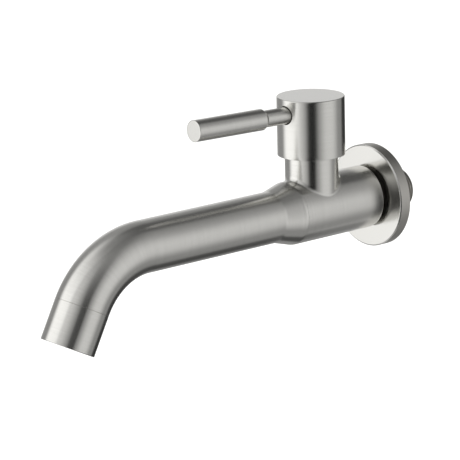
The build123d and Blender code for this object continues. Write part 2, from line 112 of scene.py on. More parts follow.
class TapSizes(bpy.types.PropertyGroup):
    """Sizes of the pieces that show."""

    flange_radius: length("Flange radius", "Outside of the wall flange", FLANGE_HIGH.x / MM)
    flange_depth: length("Flange depth", "How far the flange stands off the wall", -FLANGE_LOW.y / MM)
    flange_front: length("Flange front wall", "Thickness of the flange's front", 1.6)
    flange_rim: length("Flange rim wall", "Thickness of the flange's rim", 2.2)
    flange_hole: length("Flange hole", "Radius of the hole for the nipple", 10.9975)
    flange_boss: length("Flange boss", "Radius of the boss behind the front wall", 14.1975)
    boss_setback: length("Boss setback", "How far the boss stops short of the wall", 1.0)
    flange_bevel: length("Flange bevel", "Bevel round the flange's front edge", 0.6)
    groove_radius: length("Groove radius", "Bottom of the boss's groove", 12.2375)
    groove_half: length("Groove half width", "Half the width of the boss's groove", 1.22)

    thread_radius: length("Thread radius", "Crest of the G 1/2 thread", 10.4775)
    thread_pitch: length("Thread pitch", "14 turns to the inch", 25.4 / 14)
    thread_depth: length("Thread depth", "Crest to root", 1.162)
    shank_radius: length("Shank radius", "Plain shank between body and thread", 9.7975)
    waterway: length("Waterway", "Radius of the bore in the nipple", 7.5)
    waterway_step: length("Waterway step", "How far the bore runs past the body's end", 2.1)
    feed_bore: length("Feed bore", "Radius of the narrow bore behind it", 4.2)
    socket: length("Feed socket", "Radius of the socket for the feed tube", 5.05)
    socket_depth: length("Socket depth", "Depth of the socket for the feed tube", 8.0)

    neck_radius: length("Neck radius", "Outside of the upright neck", 13.5)
    neck_bore: length("Neck bore", "Inside of the upright neck", 12.0)
    body_bore: length("Body bore", "Inside of the body tube", 14.5)
    weld_blend: length("Weld blend", "Radius of the polished weld at the neck's foot", 2.5)
    body_edge: length("Body edge", "Bevel on the body's back edge", 0.5)
    seam: length("Seam", "Depth of the fine groove between the body and the spout", 0.05)

    cap_bore: length("Cap bore", "Inside of the handle cap", 15.4)
    cap_top: length("Cap top", "Thickness of the cap's top", 2.0)
    cap_edge: length("Cap edge", "Rounding of the cap's top edge", 0.4)
    lever_height: length("Lever height", "Inlet axis to the lever's axis at the neck", 49.8)
    lever_rise: angle("Lever rise", "Upward slope of the lever", 1.24)
    lever_hole: length("Lever hole", "Radius of the cap's hole for the lever", 4.7)

    stem_radius: length("Stem radius", "Thin part of the lever", 4.27)
    stem_seat: length("Stem seat", "Neck axis to the stem's shoulder in the hub", 14.6)
    stem_thread: length("Stem thread", "Radius of the stem's threaded ends", 3.0)
    stem_thread_length: length("Stem thread length", "Length of the thread in the hub", 7.6)
    spigot: length("Spigot length", "Length of the stem's thread in the grip", 15.0)
    grip_radius: length("Grip radius", "Thick part of the lever", 5.4)
    grip_start: length("Grip start", "Neck axis to the grip's inner end", 31.1)
    grip_taper: length("Grip taper", "Length of the cone at the grip's inner end", 1.7)
    grip_end: length("Grip end", "Neck axis to the grip's outer end", 75.4)
    grip_edge: length("Grip edge", "Rounding of the grip's outer edge", 0.35)
    grip_play: length("Grip play", "Room round the stem in the grip", 0.05)
    bore_relief: length("Bore relief", "Room past the stem's end in the grip", 1.0)

    spout_radius: length("Spout radius", "Outside of the spout's tube", 13.0)
    spout_bore: length("Spout bore", "Inside of the spout's tube", 11.5)
    collar_length: length("Collar length", "Plain collar at the spout's wide end", 0.95)
    cone_length: length("Cone length", "Cone behind the collar", 11.0)
    cone_blend: length("Cone blend", "Radius that eases the cone in and out", 6.7)
    bend_start: length("Bend start", "Wall to the start of the bend", 151.8)
    bend_radius: length("Bend radius", "Radius of the bend's centre line", 42.1)
    bend_angle: angle("Bend angle", "Turn of the bend", 62.5)
    tip_radius: length("Tip radius", "Outside of the sleeve, where the opened-out bend ends", 13.5)
    tip_length: length("Tip length", "Length of the outlet sleeve", 20.6)
    sleeve_bore: length("Sleeve bore", "Inside of the outlet sleeve", 11.85)
    lip_bore: length("Lip bore", "Radius of the opening at the sleeve's end", 10.35)
    lip_height: length("Lip height", "Depth of the lip round the opening", 1.6)
    tip_seam: length("Tip seam", "Depth of the groove between the spout and the sleeve", 0.13)
    tip_edge: length("Tip edge", "Rounding of the sleeve's outer edge", 0.34)


class TapFinish(bpy.types.PropertyGroup):
    """Colours and finishes of the materials."""

    steel: colour("Steel", "Light parts of the brushed stainless steel", "#D7D6D2")
    steel_dull: colour("Dull steel", "Slightly darker parts of the brushing", "#C7C6C2")
    satin: colour("Satin steel", "Flat faces rubbed to a satin", "#D1D0CC")
    turned: colour("Turned steel", "Stainless steel as it comes off the lathe", "#B4B2AD")
    brass: colour("Brass", "Turned brass", "#C9AA6C")
    # Painted shade: the hub's brass is painted near black to stand in for the shadow deep in the lever's
    # hole
    painted_shade: colour("Blackened brass", "Brass with a black oxide, as in the lever's hole", "#26231F")
    rubber: colour("Rubber", "Black nitrile rubber", "#161616")
    ceramic: colour("Ceramic", "Lapped alumina", "#EFEDE6")
    acetal: colour("Acetal", "Moulded acetal", "#E2E1DC")
    floor: colour("Floor", "Matt white board", "#F1F1EF")
    smooth_brushing: share("Smooth brushing", "Roughness in the smoothest streaks", 0.23)
    coarse_brushing: share("Coarse brushing", "Roughness in the roughest streaks", 0.253)
    brushing_spread: share("Brushing spread", "How far the scratches stretch a reflection", 0.7)
    streak_width: length("Streak width", "Width of one brushed streak", 0.3)
    streak_length: length("Streak length", "Length of one brushed streak", 20.0)
    scratch_depth: length("Scratch depth", "Depth of the scratches", 0.004)
    scratch_strength: share("Scratch strength", "How much of that depth shows", 0.25)


class TapStage(bpy.types.PropertyGroup):
    """Camera, floor and light."""

    camera_place: bpy.props.FloatVectorProperty(
        name="Camera place",
        description="Where the camera stands",
        default=(1.0303, -0.94422, 0.34208),
        subtype="TRANSLATION",
        unit="LENGTH",
    )
    camera_azimuth: angle("Camera azimuth", "Turn of the view from straight ahead", 50.573)
    camera_elevation: angle("Camera elevation", "How far the view looks down", 14.4535)
    camera_roll: angle("Camera roll", "Tilt of the picture", -1.3972)
    lens: number("Focal length", "On a 36 mm wide sensor", 218.79, unit="CAMERA")
    floor_drop: length("Floor drop", "Inlet axis down to the floor", 350.0)
    floor_size: length("Floor size", "Side of the square floor", 12000.0)
    key_power: power("Key power", "Power of the soft lamp overhead", 14.0)
    card_power: power("Low card power", "Power of the small card below the flange", 0.0042)


def sizes():
    return bpy.context.scene.tap_sizes


def finish():
    return bpy.context.scene.tap_finish


# Outlines and grids


def eased(corners, closed=True, steps=6):
    """Round the corners (radius, height, rounding) of an outline.

    A point beside each end of an arc keeps the shading of the straight part flat.
    """
    most_of_side = 0.45 if closed else 0.98
    longest_hold = 0.2 * MM
    points = []
    count = len(corners)
    for place, corner in enumerate(corners):
        here = Vector(corner[:2])
        rounding = corner[2] if len(corner) > 2 else 0.0
        inner = closed or 0 < place < count - 1
        if not rounding or not inner:
            points.append(here)
            continue
        before = Vector(corners[place - 1][:2]) - here
        after = Vector(corners[(place + 1) % count][:2]) - here
        spread = before.angle(after)
        room = min(before.length, after.length) * most_of_side
        reach = min(rounding / math.tan(spread / 2), room)
        radius = reach * math.tan(spread / 2)
        before.normalize()
        after.normalize()
        centre = here + (before + after).normalized() * radius / math.sin(spread / 2)
        start = here + before * reach - centre
        end = here + after * reach - centre
        hold = min(reach, longest_hold)
        points.append(centre + start + before * hold)
        for step in range(steps + 1):
            points.append(centre + start.slerp(end, step / steps) * radius)
        points.append(centre + end + after * hold)
    return points


def ring_row(centre, side, up, radius, run, columns):
    """One closed row of a grid: points round a circle with their place on the brush map."""
    row = []
    for column in range(columns + 1):
        turn = column / columns
        spoke = side * math.cos(TURN * turn) + up * math.sin(TURN * turn)
        row.append((centre + spoke * radius, turn, run))
    return row


def turned_rows(outline, columns=160):
    """Grid of a piece turned round Z. Its outline is closed, or starts and ends on the axis."""
    rows, run = [], 0.0
    loop = [*outline, outline[0]] if outline[0].x else outline
    for place, point in enumerate(loop):
        if place:
            run += (point - loop[place - 1]).length
        centre = Vector((0, 0, point.y))
        rows.append(ring_row(centre, Vector((1, 0, 0)), Vector((0, 1, 0)), point.x, run, columns))
    return rows


def woven(name, grids, place=None):
    """One closed mesh from grids of rows of (point, turn, run), welded where they meet."""
    weld_distance = 0.0005 * MM
    least_edge = 0.0001 * MM
    sharp_angle = math.radians(40)
    shape = bmesh.new()
    brush = shape.loops.layers.uv.new(BRUSH_MAP)
    for rows in grids:
        corners = [[shape.verts.new(spot[0]) for spot in row] for row in rows]
        for low in range(len(rows) - 1):
            for left in range(len(rows[low]) - 1):
                square = ((low, left), (low, left + 1), (low + 1, left + 1), (low + 1, left))
                face = shape.faces.new([corners[row][column] for row, column in square])
                face.smooth = True
                for loop, (row, column) in zip(face.loops, square):
                    loop[brush].uv = rows[row][column][1:]
    bmesh.ops.remove_doubles(shape, verts=shape.verts, dist=weld_distance)
    bmesh.ops.dissolve_degenerate(shape, dist=least_edge, edges=shape.edges)
    bmesh.ops.recalc_face_normals(shape, faces=shape.faces)
    open_edges = sum(not edge.is_manifold for edge in shape.edges)
    if open_edges:
        raise RuntimeError(f"{name}: {open_edges} edges of the mesh are open")
    shape.transform(place or Matrix.Identity(4))
    mesh = bpy.data.meshes.new(name)
    shape.to_mesh(mesh)
    shape.free()
    mesh.set_sharp_from_angle(angle=sharp_angle)
    piece = bpy.data.objects.new(name, mesh)
    bpy.context.scene.collection.objects.link(piece)
    return piece


def dressed(piece, body, nodes, material):
    """Give a piece its material and body, and hide the CAD nodes that it stands in for."""
    piece.data.materials.append(material)
    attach(piece, body)
    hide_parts(*nodes)


def faced(piece, outward, material):
    """Give a piece's flat faces that look one way a second material."""
    square_on = 0.9999
    piece.data.materials.append(material)
    for face in piece.data.polygons:
        if face.normal.dot(outward) > square_on:
            face.material_index = 1


# Places of the turned pieces, each drawn round its own Z axis


def inlet_place():
    return Matrix.Rotation(math.radians(-90), 4, "X")


def lever_place():
    size = sizes()
    lift = Matrix.Rotation(math.radians(90) - size.lever_rise, 4, "X")
    return Matrix.Translation((0, NECK_Y, size.lever_height)) @ lift


def bend_point(bend):
    """Centre and outward normal of the spout's bend after a turn."""
    size = sizes()
    centre = Vector((0, -size.bend_start - size.bend_radius * math.sin(bend), 0))
    centre.z = -size.bend_radius * (1 - math.cos(bend))
    return centre, Vector((0, -math.sin(bend), math.cos(bend)))


def tip_place():
    bend = sizes().bend_angle
    return Matrix.Translation(bend_point(bend)[0]) @ Matrix.Rotation(math.radians(90) + bend, 4, "X")


# A cylinder's wall with a round opening in it, as a flat chart of (turn, height)


def frame_walk(spread, low, high):
    """Points round a rectangle of the chart, from one corner back to it."""
    walk = []
    for step in range(WALL_ACROSS):
        walk.append((-spread + 2 * spread * step / WALL_ACROSS, low))
    for step in range(WALL_ALONG):
        walk.append((spread, low + (high - low) * step / WALL_ALONG))
    for step in range(WALL_ACROSS):
        walk.append((spread - 2 * spread * step / WALL_ACROSS, high))
    for step in range(WALL_ALONG):
        walk.append((-spread, high - (high - low) * step / WALL_ALONG))
    return [*walk, walk[0]]


def pierced(radius, middle, spread, low, high, rim):
    """Rows of the chart from an opening's rim out to its frame, and the directions they follow."""
    crowding = 1.4              # above 1, the rows stand closer together near the rim
    walk = frame_walk(spread, low, high)
    bearings = [math.atan2(height - middle, turn * radius) for turn, height in walk]
    starts = [rim(bearing) for bearing in bearings]
    grid = []
    for row in range(WALL_OUTWARD + 1):
        part = (row / WALL_OUTWARD) ** crowding
        line = []
        for (turn, height), (rim_turn, rim_height) in zip(walk, starts):
            line.append((rim_turn + (turn - rim_turn) * part, rim_height + (height - rim_height) * part))
        grid.append(line)
    return grid, bearings


def rest_of_wall(spread, low, high):
    """Rows of the chart for the side of the cylinder that has no opening."""
    width = TURN - 2 * spread
    grid = []
    for row in range(WALL_ALONG + 1):
        height = low + (high - low) * row / WALL_ALONG
        grid.append([(spread + width * step / WALL_ACROSS, height) for step in range(WALL_ACROSS + 1)])
    return grid


def wall_turns(spread):
    """Turns of every column of such a wall, all the way round from one side of its frame."""
    front = [-spread + 2 * spread * step / WALL_ACROSS for step in range(WALL_ACROSS)]
    back = [spread + (TURN - 2 * spread) * step / WALL_ACROSS for step in range(WALL_ACROSS + 1)]
    return front + back


# Materials


def add(tree, kind, inputs=None, **settings):
    """Add a node with its settings, and set or link its inputs. A node stands for its first output."""
    node = tree.nodes.new(kind)
    for name, value in settings.items():
        setattr(node, name, value)
    for key, value in (inputs or {}).items():
        if isinstance(value, bpy.types.Node):
            value = value.outputs[0]
        if isinstance(value, bpy.types.NodeSocket):
            tree.links.new(value, node.inputs[key])
        else:
            node.inputs[key].default_value = value
    return node


def empty_material(name):
    material = bpy.data.materials.new(name)
    material.use_nodes = True
    material.node_tree.nodes.clear()
    return material, material.node_tree


def brushed_stainless():
    """AISI 304 stainless steel, turned or bent and then brushed round its axis with a fine belt.

    The scratches spread each reflection across them, so bands stay crisp round a tube and blur along it.
    """
    name = "stainless_304_brushed_round"
    found = bpy.data.materials.get(name)
    if found:
        return found
    look = finish()
    material, tree = empty_material(name)
    brush = add(tree, "ShaderNodeUVMap", uv_map=BRUSH_MAP)
    chart = add(tree, "ShaderNodeSeparateXYZ", {0: brush})
    turn = add(tree, MATH, {0: chart.outputs["X"], 1: TURN}, operation="MULTIPLY")
    # The turn is wound onto a circle, so the streaks have no seam. A real 240 grit scratch is
    # about 0.05 mm wide: it is drawn several times coarser, or it would not show at all.
    east = add(tree, MATH, {0: turn}, operation="COSINE")
    north = add(tree, MATH, {0: turn}, operation="SINE")
    wound = add(tree, "ShaderNodeCombineXYZ", {"X": east, "Y": north, "Z": chart.outputs["Y"]})
    round_trip = sizes().spout_radius / look.streak_length
    each_way = (round_trip, round_trip, 1 / look.streak_width)
    stretch = add(tree, "ShaderNodeVectorMath", {0: wound, 1: each_way}, operation="MULTIPLY")
    pattern = {"Vector": stretch, "Scale": 1.0, "Detail": 3.0, "Roughness": 0.6}
    streaks = add(tree, "ShaderNodeTexNoise", pattern)
    reach = {"To Min": look.smooth_brushing, "To Max": look.coarse_brushing}
    roughness = add(tree, MAP_RANGE, {"Value": streaks, **NOISE_SPAN, **reach})
    shades = {"Factor": streaks, "A": look.steel, "B": look.steel_dull}
    tint = add(tree, "ShaderNodeMix", shades, data_type="RGBA")
    scratches = {"Strength": look.scratch_strength, "Distance": look.scratch_depth}
    relief = add(tree, "ShaderNodeBump", {"Height": streaks, **scratches})
    lay = add(tree, "ShaderNodeTangent", direction_type="UV_MAP", uv_map=BRUSH_MAP)
    steel = add(
        tree,
        "ShaderNodeBsdfPrincipled",
        {
            "Base Color": tint.outputs["Result"],
            "Metallic": 1.0,
            "Roughness": roughness,
            "Anisotropic": look.brushing_spread,
            # A quarter turn, because the map's turns run along the scratches
            "Anisotropic Rotation": 0.25,
            "Tangent": lay,
            "Normal": relief,
        },
    )
    add(tree, "ShaderNodeOutputMaterial", {"Surface": steel})
    return material


def solid(name, base, roughness, grain, relief, metallic=1.0, **extra):
    """A solid material, metal unless told otherwise. Its grain's width and depth are in millimetres."""
    found = bpy.data.materials.get(name)
    if found:
        return found
    unevenness = 0.15
    material, tree = empty_material(name)
    place = add(tree, "ShaderNodeTexCoord")
    pattern = {"Vector": place.outputs["Object"], "Scale": 1 / (grain * MM), "Detail": 3.0}
    noise = add(tree, "ShaderNodeTexNoise", pattern)
    reach = {"To Min": roughness * (1 - unevenness), "To Max": roughness * (1 + unevenness)}
    uneven = add(tree, MAP_RANGE, {"Value": noise, **NOISE_SPAN, **reach})
    bump = add(tree, "ShaderNodeBump", {"Height": noise, "Strength": 0.4, "Distance": relief * MM})
    shader = add(
        tree,
        "ShaderNodeBsdfPrincipled",
        {
            "Base Color": base,
            "Metallic": metallic,
            "Roughness": uneven,
            "Normal": bump,
            **extra,
        },
    )
    add(tree, "ShaderNodeOutputMaterial", {"Surface": shader})
    return material


def satin_stainless():
    """AISI 304 stainless steel, faced flat and rubbed to an even satin that reflects one soft tone."""
    return solid("stainless_304_faced_satin", finish().satin, roughness=0.18, grain=0.3, relief=0.001)


def turned_stainless():
    """AISI 304 stainless steel left as turned: duller than the brushed pieces, with fine tool marks."""
    return solid("stainless_304_as_turned", finish().turned, roughness=0.36, grain=0.4, relief=0.004)


def turned_brass():
    """CW617N brass, turned: warm and a little brighter than the steel."""
    return solid("brass_turned", finish().brass, roughness=0.3, grain=0.4, relief=0.003)


def painted_shade_brass():
    """Brass painted near black: painted shade that stands in for the shadow deep in the lever's hole."""
    return solid("brass_painted_shade", finish().painted_shade, roughness=0.5, grain=0.4, relief=0.003)


def nitrile_rubber():
    """Moulded nitrile rubber: near black, with a soft sheen."""
    return solid(
        "nitrile_rubber_moulded", finish().rubber, roughness=0.55, grain=0.2, relief=0.01, metallic=0.0
    )


def lapped_alumina():
    """Alumina lapped to a mirror flatness: warm white and very smooth."""
    not_metal = {"metallic": 0.0, "IOR": 1.76}
    return solid(
        "alumina_lapped", finish().ceramic, roughness=0.16, grain=0.3, relief=0.001, **not_metal
    )


def moulded_acetal():
    """Injection-moulded acetal: milky white, between satin and matt."""
    not_metal = {"metallic": 0.0, "IOR": 1.48}
    return solid("acetal_moulded", finish().acetal, roughness=0.42, grain=0.3, relief=0.004, **not_metal)


# Pieces


class TAP_OT_wall_flange(bpy.types.Operator):
    """Build the turned cover flange, with its hollow back and boss"""

    bl_idname = "tap.wall_flange"
    bl_label = "Wall flange"

    def execute(self, context):
        size = sizes()
        columns = 240
        fine = 0.12 * MM
        face_edge = 0.35 * MM
        side_edge = 0.2 * MM
        corner = 0.4 * MM
        radius, hole, front = size.flange_radius, size.flange_hole, -size.flange_depth
        rim_bore = radius - size.flange_rim
        floor = front + size.flange_front
        boss_end = -size.boss_setback
        groove = (floor + boss_end) / 2
        outline = eased([
            (hole, front, fine),
            (radius - size.flange_bevel, front, face_edge),
            (radius, front + size.flange_bevel, side_edge),
            (radius, 0, fine),
            (rim_bore, 0, fine),
            (rim_bore, floor, corner),
            (size.flange_boss, floor, corner),
            (size.flange_boss, boss_end, fine),
            (hole, boss_end, fine),
            (hole, groove + size.groove_half, 0),
            (size.groove_radius, groove + size.groove_half, 0),
            (size.groove_radius, groove - size.groove_half, 0),
            (hole, groove - size.groove_half, 0),
        ])
        piece = woven("flange", [turned_rows(outline, columns)], inlet_place())
        dressed(piece, "tap", ["wall_flange"], brushed_stainless())
        faced(piece, Vector((0, -1, 0)), satin_stainless())
        piece.data.materials.append(turned_stainless())
        # The rim's outside is left as turned: its flat facets have their middles just within the radius
        facet_middle = (radius - 0.001 * MM) * math.cos(TURN / 2 / columns)
        for face in piece.data.polygons:
            if face.center.xz.length > facet_middle:
                face.material_index = 2
        return {"FINISHED"}


def thread_profile(phase):
    """Depth of a Whitworth thread, 0 at the crest and 1 at the root, over one pitch."""
    flat = 0.14                 # share of half a pitch that the crest and the root each take
    across = abs(2 * (phase % 1.0) - 1)
    flank = (across - flat) / (1 - 2 * flat)
    return 0.5 - 0.5 * math.cos(math.pi * min(max(flank, 0), 1))


def thread_rows(start, end, columns):
    """Rows of a right-handed thread between two heights, with a bevelled lead-in at its far end."""
    size = sizes()
    rows_per_pitch = 16
    below_root = 0.04 * MM
    lead_in = size.thread_depth + below_root
    steps = round((end - start) / (size.thread_pitch / rows_per_pitch))
    rows = []
    for step in range(steps + 1):
        height = start + (end - start) * step / steps
        run_out = size.shank_radius + (height - start) / 2
        lead = size.thread_radius - max(height - (end - lead_in), 0)
        line = []
        for column in range(columns + 1):
            turn = column / columns
            cut = size.thread_depth * thread_profile(height / size.thread_pitch - turn)
            radius = min(size.thread_radius - cut, lead, run_out) if step else size.shank_radius
            spoke = Vector((math.cos(TURN * turn), math.sin(TURN * turn), 0))
            line.append((spoke * radius + Vector((0, 0, height)), turn, height))
        rows.append(line)
    return rows


class TAP_OT_inlet_nipple(bpy.types.Operator):
    """Build the inlet plug with its threaded nipple and waterway"""

    bl_idname = "tap.inlet_nipple"
    bl_label = "Inlet nipple"

    def execute(self, context):
        size = sizes()
        columns = 144
        fine = 0.1 * MM
        mouth = 0.3 * MM
        end, body_end = NIPPLE_HIGH.y, BODY_HIGH.y
        plug_face, plug_radius = NIPPLE_LOW.y, NIPPLE_HIGH.x
        socket_end = plug_face + size.socket_depth
        step = body_end - size.waterway_step
        thread = thread_rows(0.0, end, columns)
        end_radius = thread[-1][0][0].xy.length
        outline = eased([
            (end_radius, end),
            (size.waterway, end, mouth),
            (size.waterway, step, 0),
            (size.feed_bore, step, 0),
            (size.feed_bore, socket_end, 0),
            (size.socket, socket_end, 0),
            (size.socket, plug_face, fine),
            (plug_radius, plug_face, fine),
            (plug_radius, body_end, fine),
            (size.shank_radius, body_end, 0),
            (size.shank_radius, 0),
        ], closed=False)
        # Without the row that would close the outline, because the thread's rows do that
        rows = turned_rows(outline, columns)[:-1]
        piece = woven("inlet_nipple_threaded", [rows, thread], inlet_place())
        dressed(piece, "tap", ["inlet_connector"], turned_stainless())
        return {"FINISHED"}


def saddle_rows(tube_radius, neck_radius, blend, top, low, high):
    """Grids of a tube's wall, the blend and the neck's wall."""
    weld_steps, neck_steps = 10, 16
    # The blend is the path of a ball that rolls round the corner between the tube and the neck
    ball, reach = neck_radius + blend, tube_radius + blend

    def foot(bearing):
        """Where the neck or its blend starts on the tube: turn from the top and height."""
        sideways, lengthways = ball * math.cos(bearing), ball * math.sin(bearing)
        return math.asin(sideways / reach), NECK_Y + lengthways

    def on_tube(turn, height):
        point = Vector((tube_radius * math.sin(turn), height, tube_radius * math.cos(turn)))
        return point, turn / TURN, height

    chart, bearings = pierced(tube_radius, NECK_Y, SADDLE_SPREAD, low, high, foot)
    charts = (chart, rest_of_wall(SADDLE_SPREAD, low, high))
    grids = [[[on_tube(*spot) for spot in row] for row in grid] for grid in charts]
    feet = []
    for bearing in bearings:
        spoke = Vector((math.cos(bearing), math.sin(bearing), 0))
        centre = spoke * ball + Vector((0, NECK_Y, 0))
        centre.z = math.sqrt(reach ** 2 - centre.x ** 2)
        feet.append((bearing, spoke, centre))
    if blend:
        weld = []
        for step in range(weld_steps + 1):
            row = []
            for bearing, spoke, centre in feet:
                to_tube = -Vector((centre.x, 0, centre.z)).normalized()
                lean = to_tube.slerp(-spoke, step / weld_steps)
                row.append((centre + lean * blend, bearing / TURN, blend * step / weld_steps))
            weld.append(row)
        grids.append(weld)
    neck = []
    for step in range(neck_steps + 1):
        row = []
        for bearing, spoke, centre in feet:
            height = centre.z + (top - centre.z) * step / neck_steps
            point = spoke * neck_radius + Vector((0, NECK_Y, height))
            row.append((point, bearing / TURN, height))
        neck.append(row)
    grids.append(neck)
    return grids


def hoop(radius, height, turns):
    """One row round the body's axis, with its columns at given turns from the top."""
    row = []
    for turn in turns:
        point = Vector((radius * math.sin(turn), height, radius * math.cos(turn)))
        row.append((point, turn / TURN, height + radius))
    return row


def neck_row(below, reach, height):
    """One row round the neck's axis, with the columns of the row below it."""
    row = []
    for point, turn, _ in below:
        spoke = Vector((point.x, point.y - NECK_Y, 0)).normalized()
        row.append((spoke * reach + Vector((0, NECK_Y, height)), turn, height + reach))
    return row


class TAP_OT_body(bpy.types.Operator):
    """Build the body tube with its welded and polished neck"""

    bl_idname = "tap.body"
    bl_label = "Body and neck"

    def execute(self, context):
        size = sizes()
        bevel = 0.1 * MM
        hold = 0.06 * MM
        radius, bore = BODY_HIGH.x, size.body_bore
        front, back, top = BODY_LOW.y, BODY_HIGH.y, BODY_HIGH.z
        low, high = front + size.seam, back - size.body_edge
        edge_radius = radius - size.body_edge
        shoulder = top - bevel
        outer = saddle_rows(radius, size.neck_radius, size.weld_blend, shoulder, low, high)
        inner = saddle_rows(bore, size.neck_bore, 0.0, shoulder, front, back)
        turns = wall_turns(SADDLE_SPREAD)
        front_end = [(radius, low), (radius - size.seam, front), (bore, front)]
        back_end = [
            (radius, high),
            (radius - hold / 4, high + hold),
            (edge_radius + hold, back - hold / 4),
            (edge_radius - hold, back),
            (bore, back),
        ]
        ends = [[hoop(*corner, turns) for corner in end] for end in (front_end, back_end)]
        outside, inside = outer[-1][-1], inner[-1][-1]
        lip = [
            neck_row(outside, size.neck_radius, shoulder),
            neck_row(outside, size.neck_radius - bevel, top),
            neck_row(inside, size.neck_bore + bevel, top),
            neck_row(inside, size.neck_bore, shoulder),
        ]
        piece = woven("body_with_neck", [*outer, *inner, *ends, lip])
        dressed(piece, "tap", ["tap_body"], brushed_stainless())
        return {"FINISHED"}


class TAP_OT_spout(bpy.types.Operator):
    """Build the flared and bent spout"""

    bl_idname = "tap.spout"
    bl_label = "Spout"

    def execute(self, context):
        size = sizes()
        columns, bend_steps, cone_steps = 160, 64, 24
        start, wide = BODY_LOW.y, BODY_HIGH.x
        wall = size.spout_radius - size.spout_bore
        cone_end = start - size.collar_length - size.cone_length
        side, up = Vector((1, 0, 0)), Vector((0, 0, 1))

        def stations(inset, edge):
            """Centre, outward normal and radius of each row on one side of the wall."""
            line = eased([
                (wide - inset - edge, start),
                (wide - inset, start - edge),
                (wide - inset, start - size.collar_length, size.cone_blend),
                (size.spout_radius - inset, cone_end, size.cone_blend),
                (size.spout_radius - inset, -size.bend_start),
            ], closed=False, steps=cone_steps)
            found = [(Vector((0, point.y, 0)), up, point.x) for point in line]
            for step in range(1, bend_steps + 1):
                centre, outward = bend_point(size.bend_angle * step / bend_steps)
                opening = (size.tip_radius - size.spout_radius) * step / bend_steps
                found.append((centre, outward, size.spout_radius + opening - inset))
            return found

        outside, inside = stations(0.0, size.seam), stations(wall, 0.0)
        end, outward = bend_point(size.bend_angle)
        along = Vector((0, -math.cos(size.bend_angle), -math.sin(size.bend_angle)))
        outside[-1] = (end - along * size.tip_seam, outward, size.tip_radius)
        seam_bottom = (end, outward, size.tip_radius - size.tip_seam)
        loop = [*outside, seam_bottom, *reversed(inside), outside[0]]
        rows, run = [], 0.0
        for place, (centre, normal, radius) in enumerate(loop):
            if place:
                last_centre, _, last_radius = loop[place - 1]
                run += (centre - last_centre).length + abs(radius - last_radius)
            rows.append(ring_row(centre, side, normal, radius, run, columns))
        piece = woven("spout", [rows])
        dressed(piece, "tap", ["spout_tube"], brushed_stainless())
        return {"FINISHED"}


class TAP_OT_outlet(bpy.types.Operator):
    """Build the screwed outlet sleeve past the spout's seam"""

    bl_idname = "tap.outlet"
    bl_label = "Outlet sleeve"

    def execute(self, context):
        size = sizes()
        fine = 0.15 * MM
        seam_edge = 0.05 * MM
        mouth = 0.3 * MM
        lip = size.tip_length - size.lip_height
        outline = eased([
            (size.sleeve_bore, 0, 0),
            (size.tip_radius - size.tip_seam, 0, 0),
            (size.tip_radius, size.tip_seam, seam_edge),
            (size.tip_radius, size.tip_length, size.tip_edge),
            (size.lip_bore, size.tip_length, mouth),
            (size.lip_bore, lip, fine),
            (size.sleeve_bore, lip, 0),
        ])
        piece = woven("outlet_sleeve_screwed", [turned_rows(outline)], tip_place())
        dressed(piece, "tap", ["outlet_sleeve"], brushed_stainless())
        return {"FINISHED"}


def lever_rim(wall_radius, hole_radius, bearing):
    """Where the lever's hole meets the cap's wall: turn from the front and height."""
    size = sizes()
    sideways, upward = hole_radius * math.cos(bearing), hole_radius * math.sin(bearing)
    ahead, climb = math.cos(size.lever_rise), math.sin(size.lever_rise)
    # At a distance along the lever, this point of the hole is forward of the neck's axis by
    # distance * ahead - upward * climb
    forward = math.sqrt(wall_radius ** 2 - sideways ** 2)
    distance = (forward + upward * climb) / ahead
    return math.asin(sideways / wall_radius), size.lever_height + distance * climb + upward * ahead


class TAP_OT_handle_cap(bpy.types.Operator):
    """Build the turned handle cap with the hole for its lever"""

    bl_idname = "tap.handle_cap"
    bl_label = "Handle cap"

    def execute(self, context):
        size = sizes()
        fine = 0.12 * MM
        nearly = fine / 10
        spread = TURN / 6           # the frame round the hole reaches this far to each side
        radius, bore, hole = CAP_HIGH.x, size.cap_bore, size.lever_hole
        low, top = CAP_LOW.z, CAP_HIGH.z
        foot_top, ceiling, shoulder = low + fine, top - size.cap_top, top - size.cap_edge
        centre = Vector((0, NECK_Y, 0))
        turns = wall_turns(spread)

        def spot(turn, height, reach, run):
            point = centre + Vector((reach * math.sin(turn), -reach * math.cos(turn), height))
            return point, turn / TURN, run

        def ring(reach, height, run):
            return [spot(turn, height, reach, run) for turn in turns]

        def wall(reach, hole_radius, head):
            """Grids of one side of the cap's wall, and the directions round its hole."""

            def rim(bearing):
                return lever_rim(reach, hole_radius, bearing)

            chart, bearings = pierced(reach, size.lever_height, spread, foot_top, head, rim)
            grids = [
                [[spot(turn, height, reach, height) for turn, height in row] for row in grid]
                for grid in (chart, rest_of_wall(spread, foot_top, head))
            ]
            return grids, bearings

        outer, bearings = wall(radius, hole + fine, shoulder)
        inner, inner_bearings = wall(bore, hole, ceiling)
        # Each outline runs along the wall first, so that its arc has a direction: that part is dropped
        arc = eased([
            (radius, shoulder - 4 * size.cap_edge),
            (radius, top, size.cap_edge),
            (0, top),
        ], closed=False, steps=8)
        lid = [ring(point.x, point.y, radius - point.x) for point in arc if point.y > shoulder - nearly]
        foot_arc = eased([
            (radius, low + 4 * fine),
            (radius, low, fine),
            (bore, low, fine),
            (bore, low + 4 * fine),
        ], closed=False, steps=4)
        foot = [ring(point.x, point.y, point.x) for point in foot_arc if point.y < foot_top + nearly]
        roof = [ring(bore, ceiling, 0.0), ring(0.0, ceiling, bore)]
        throat = []
        for reach, hole_radius, walk in (
            (radius, hole + fine, bearings),
            (radius - fine, hole, bearings),
            (bore, hole, inner_bearings),
        ):
            rim = [lever_rim(reach, hole_radius, bearing) for bearing in walk]
            throat.append([spot(turn, height, reach, reach) for turn, height in rim])
        piece = woven("handle_cap_turned", [*outer, *inner, lid, foot, roof, throat])
        dressed(piece, "handle", ["handle_cap"], brushed_stainless())
        faced(piece, Vector((0, 0, 1)), satin_stainless())
        return {"FINISHED"}


